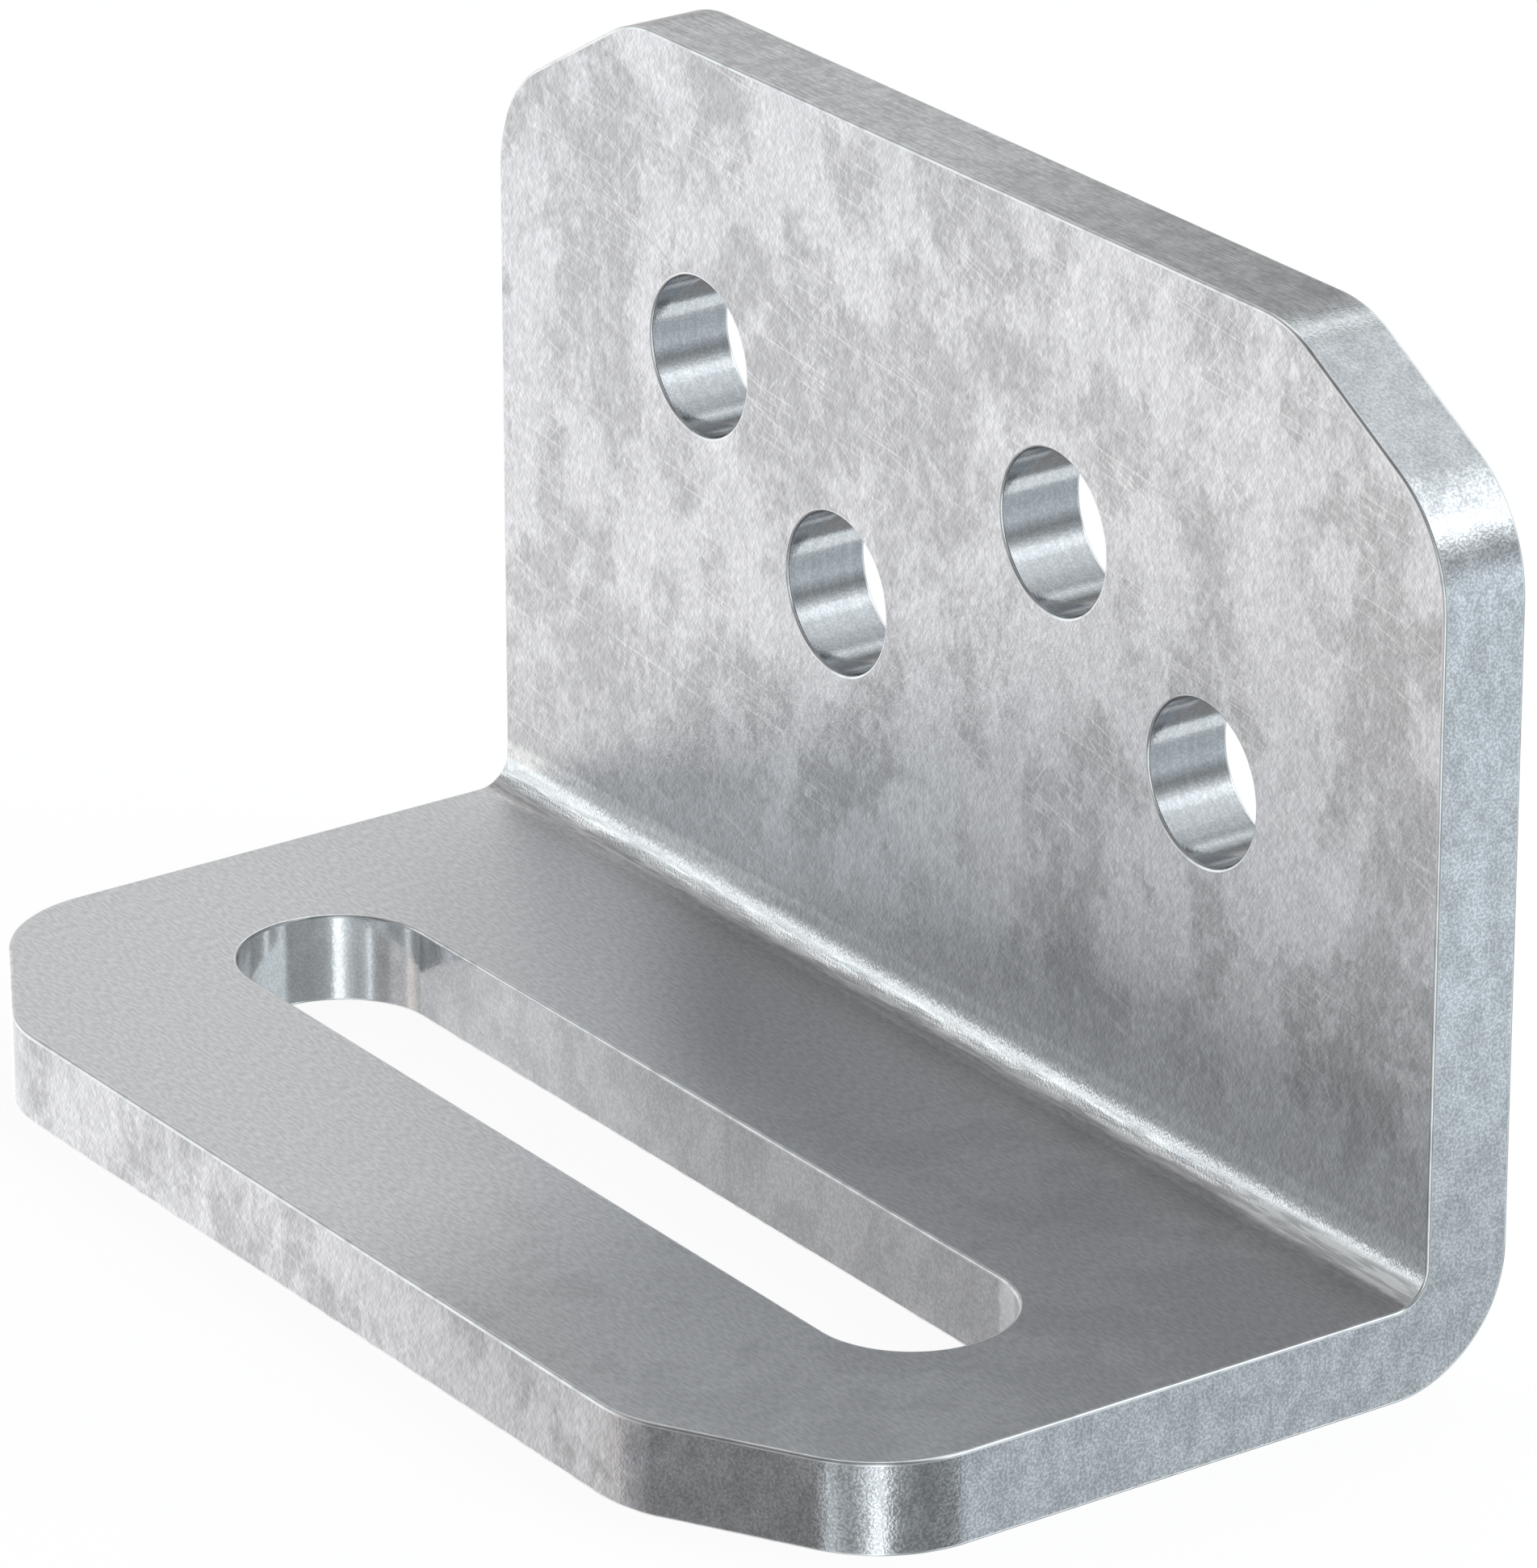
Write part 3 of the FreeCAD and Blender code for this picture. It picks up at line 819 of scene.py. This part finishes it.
def bore_zinc(finish):
    """The bolt holes' walls: a darker zinc with the rings of the punch, that sparkles with fine grit
    and has painted shade where the wall faces up, at the bottom of the bore."""
    material, tree = empty_material("bore_zinc")
    coordinates = add_node(tree, "ShaderNodeTexCoord").outputs
    place = coordinates["Object"]
    axes = add_node(tree, "ShaderNodeSeparateXYZ", {"Vector": coordinates["Normal"]}).outputs
    # Painted shade where the bore's wall faces up.
    painted_bore_shade = add_node(tree, "ShaderNodeMapRange", {
        "Value": axes["Z"], "From Min": 0.88, "From Max": 0.97, "To Min": 0.85, "To Max": 0.52},
        interpolation_type="SMOOTHSTEP").outputs["Result"]
    rings = grains(tree, place, (6, 0.5, 6), 0.35, 0.65, 0.95, 1.05, detail=3)
    grit = grains(tree, place, (0.24, 0.24, 0.24), 0.38, 0.68, 0.9, 1.12)
    plain = [*finish.plain_zinc, 1.0]
    colour = shaded(tree, plain, ((1.0, painted_bore_shade), (1.0, rings), (1.0, grit)))
    bump = add_node(tree, "ShaderNodeBump", {
        "Height": grit, "Strength": 0.6, "Distance": finish.grit_height})
    zinc = add_node(tree, "ShaderNodeBsdfPrincipled", {
        "Base Color": colour, "Metallic": 1.0, "Roughness": finish.bore_roughness,
        "Normal": bump.outputs["Normal"]})
    add_node(tree, "ShaderNodeOutputMaterial", {"Surface": zinc.outputs["BSDF"]})
    return material


class PLATE_OT_studio(bpy.types.Operator):
    """Sets up the pale floor, the soft light and the camera"""

    bl_idname = "plate.studio"
    bl_label = "Studio"
    bl_options = {"REGISTER", "UNDO"}

    def execute(self, context):
        studio = context.scene.plate_studio
        scene = context.scene
        scene.view_settings.view_transform = "Standard"
        add_tent(studio)
        light_world(scene)
        place_camera(scene, studio)
        return {"FINISHED"}


def add_tent(studio):
    """The floor and backdrop: a plain white tent, which takes the plate's shadow. It isn't mirrored in
    the zinc and lets the studio's light through, because the real plate mirrors the panels alone."""
    deselect_all()
    size = studio.tent_size
    bpy.ops.mesh.primitive_cube_add(size=size, location=(0, 0, size / 2))
    tent = bpy.context.object
    tent.name = "white_tent"
    bpy.ops.object.transform_apply(location=True, rotation=True, scale=True)
    edit(tent)
    bpy.ops.mesh.select_all(action="SELECT")
    bpy.ops.mesh.flip_normals()
    deselect_all()
    tent.visible_glossy = False
    tent.visible_shadow = False
    tent.visible_diffuse = False
    tent.data.materials.append(white_cloth(studio))


def white_cloth(studio):
    """Translucent tent cloth: mostly its own glow, so that a shadow on it stays faint."""
    material, tree = empty_material("white_tent_cloth")
    glow = add_node(tree, "ShaderNodeEmission", {"Strength": studio.tent_glow})
    cloth = add_node(tree, "ShaderNodeBsdfDiffuse", {
        "Color": [studio.tent_cloth] * 3 + [1.0]})
    both = add_node(tree, "ShaderNodeAddShader", {
        0: glow.outputs["Emission"], 1: cloth.outputs["BSDF"]})
    add_node(tree, "ShaderNodeOutputMaterial", {"Surface": both.outputs["Shader"]})
    return material


def ring_of_panels(tree, across, up, panels):
    """The light of panels that stand side by side round an axis. Each is its angle from the second
    direction towards the first, its level and its tint, and the light runs smoothly between them."""
    angle = add_node(tree, "ShaderNodeMath", {0: across, 1: up}, operation="ARCTAN2")
    turn = add_node(tree, "ShaderNodeMapRange", {
        "Value": angle.outputs[0], "From Min": -math.pi, "From Max": math.pi})
    ramp = add_node(tree, "ShaderNodeValToRGB", {"Fac": turn.outputs["Result"]})
    ramp.color_ramp.interpolation = "EASE"
    stops = ramp.color_ramp.elements
    while len(stops) < len(panels):
        stops.new(0.5)
    for stop, (degrees, level, tint) in zip(stops, panels):
        stop.position = 0.5 + degrees / 360
        stop.color = [channel * level / BRIGHTEST for channel in linear(tint)[:3]] + [1.0]
    return ramp.outputs["Color"]


def light_world(scene):
    """The studio's light: soft panels and the dark gaps between them, which the zinc mirrors."""
    world = bpy.data.worlds.new("studio")
    world.use_nodes = True
    tree = world.node_tree
    tree.nodes.clear()
    direction = add_node(tree, "ShaderNodeTexCoord").outputs["Generated"]
    axes = add_node(tree, "ShaderNodeSeparateXYZ", {"Vector": direction}).outputs
    front = add_node(tree, "ShaderNodeMath", {0: axes["Y"], 1: -1}, operation="MULTIPLY").outputs[0]
    around = ring_of_panels(tree, axes["X"], front, PANELS_AROUND)
    above = ring_of_panels(tree, axes["X"], axes["Z"], PANELS_ABOVE)

    canopy = add_node(tree, "ShaderNodeMapRange", {
        "Value": axes["Z"], "From Min": FRONT_GLOW_TOP, "From Max": FRONT_DARK_FROM,
        "To Min": 1.0, "To Max": FRONT_DARK}, interpolation_type="SMOOTHSTEP").outputs["Result"]
    walls = add_node(tree, "ShaderNodeMix", {
        "Factor": 1.0, "A": around, "B": canopy},
        data_type="RGBA", blend_type="MULTIPLY")
    aside = add_node(tree, "ShaderNodeVectorMath", {
        0: direction, 1: GLOW_ACROSS}, operation="DOT_PRODUCT")
    aside = add_node(tree, "ShaderNodeMath", {0: aside.outputs["Value"]}, operation="ABSOLUTE")
    glow = add_node(tree, "ShaderNodeMapRange", {
        "Value": aside.outputs[0], "From Min": GLOW_HALF, "From Max": GLOW_SIDE,
        "To Min": 1.0, "To Max": 0.0}, interpolation_type="SMOOTHSTEP").outputs["Result"]
    glow = add_node(tree, "ShaderNodeMapRange", {
        "Value": axes["Z"], "From Min": GLOW_FOOT[0], "From Max": GLOW_FOOT[1],
        "To Max": glow}, interpolation_type="SMOOTHSTEP").outputs["Result"]
    glow = add_node(tree, "ShaderNodeMapRange", {
        "Value": axes["Z"], "From Min": GLOW_TOP[0], "From Max": GLOW_TOP[1],
        "To Min": glow, "To Max": 0.0}, interpolation_type="SMOOTHSTEP").outputs["Result"]
    front_side = add_node(tree, "ShaderNodeMapRange", {
        "Value": front, "From Min": 0.0, "From Max": GLOW_FRONT, "To Max": glow}).outputs["Result"]
    walls = add_node(tree, "ShaderNodeMix", {
        "Factor": front_side, "A": walls.outputs["Result"],
        "B": [channel * GLOW_LEVEL / BRIGHTEST for channel in linear(GLOW_TINT)[:3]] + [1.0]},
        data_type="RGBA")
    behind = add_node(tree, "ShaderNodeMapRange", {
        "Value": axes["Y"], "From Min": BEHIND_FROM, "From Max": BEHIND_FULL},
        interpolation_type="SMOOTHSTEP").outputs["Result"]
    off_ring = add_node(tree, "ShaderNodeMath", {
        0: axes["Z"], 1: RING_HEIGHT}, operation="SUBTRACT")
    off_ring = add_node(tree, "ShaderNodeMath", {0: off_ring.outputs[0]}, operation="ABSOLUTE")
    overhead = add_node(tree, "ShaderNodeMapRange", {
        "Value": off_ring.outputs[0], "From Min": RING_FROM, "From Max": RING_FULL,
        "To Max": behind}, interpolation_type="SMOOTHSTEP").outputs["Result"]
    light = add_node(tree, "ShaderNodeMix", {
        "Factor": overhead, "A": walls.outputs["Result"], "B": above}, data_type="RGBA")
    sky = add_node(tree, "ShaderNodeBackground", {
        "Color": light.outputs["Result"], "Strength": BRIGHTEST})
    add_node(tree, "ShaderNodeOutputWorld", {"Surface": sky.outputs["Background"]})
    scene.world = world


def place_camera(scene, studio):
    """The camera, turned round the point that it aims at."""
    bpy.ops.object.camera_add()
    camera = bpy.context.object
    turn = Euler((QUARTER - studio.elevation, 0, studio.azimuth)).to_matrix()
    camera.location = Vector(studio.aim) + turn @ Vector((0, 0, studio.distance))
    camera.rotation_euler = (turn @ Matrix.Rotation(studio.roll, 3, "Z")).to_euler()
    camera.data.lens = studio.focal_length
    camera.data.sensor_width = 36
    scene.camera = camera


def scene_settings(scene):
    return scene.plate_sizes, scene.plate_finish, scene.plate_studio


class VIEW3D_PT_plate(bpy.types.Panel):
    """The plate's pieces and their settings"""

    bl_label = "Connection Plate"
    bl_category = "Plate"
    bl_space_type = "VIEW_3D"
    bl_region_type = "UI"

    def draw(self, context):
        for settings in scene_settings(context.scene):
            column = self.layout.column()
            for name in settings.__annotations__:
                column.prop(settings, name)
        for operator in OPERATORS:
            self.layout.operator(operator.bl_idname)


OPERATORS = (PLATE_OT_galvanised_plate, PLATE_OT_studio)
CLASSES = (PlateSizes, ZincFinish, StudioSettings, *OPERATORS, VIEW3D_PT_plate)


def register():
    for cls in CLASSES:
        bpy.utils.register_class(cls)
    bpy.types.Scene.plate_sizes = PointerProperty(type=PlateSizes)
    bpy.types.Scene.plate_finish = PointerProperty(type=ZincFinish)
    bpy.types.Scene.plate_studio = PointerProperty(type=StudioSettings)


def unregister():
    del bpy.types.Scene.plate_studio
    del bpy.types.Scene.plate_finish
    del bpy.types.Scene.plate_sizes
    for cls in reversed(CLASSES):
        bpy.utils.unregister_class(cls)


def main():
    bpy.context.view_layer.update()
    register()
    bpy.ops.plate.galvanised_plate()
    bpy.ops.plate.studio()


if __name__ == "__main__":
    main()
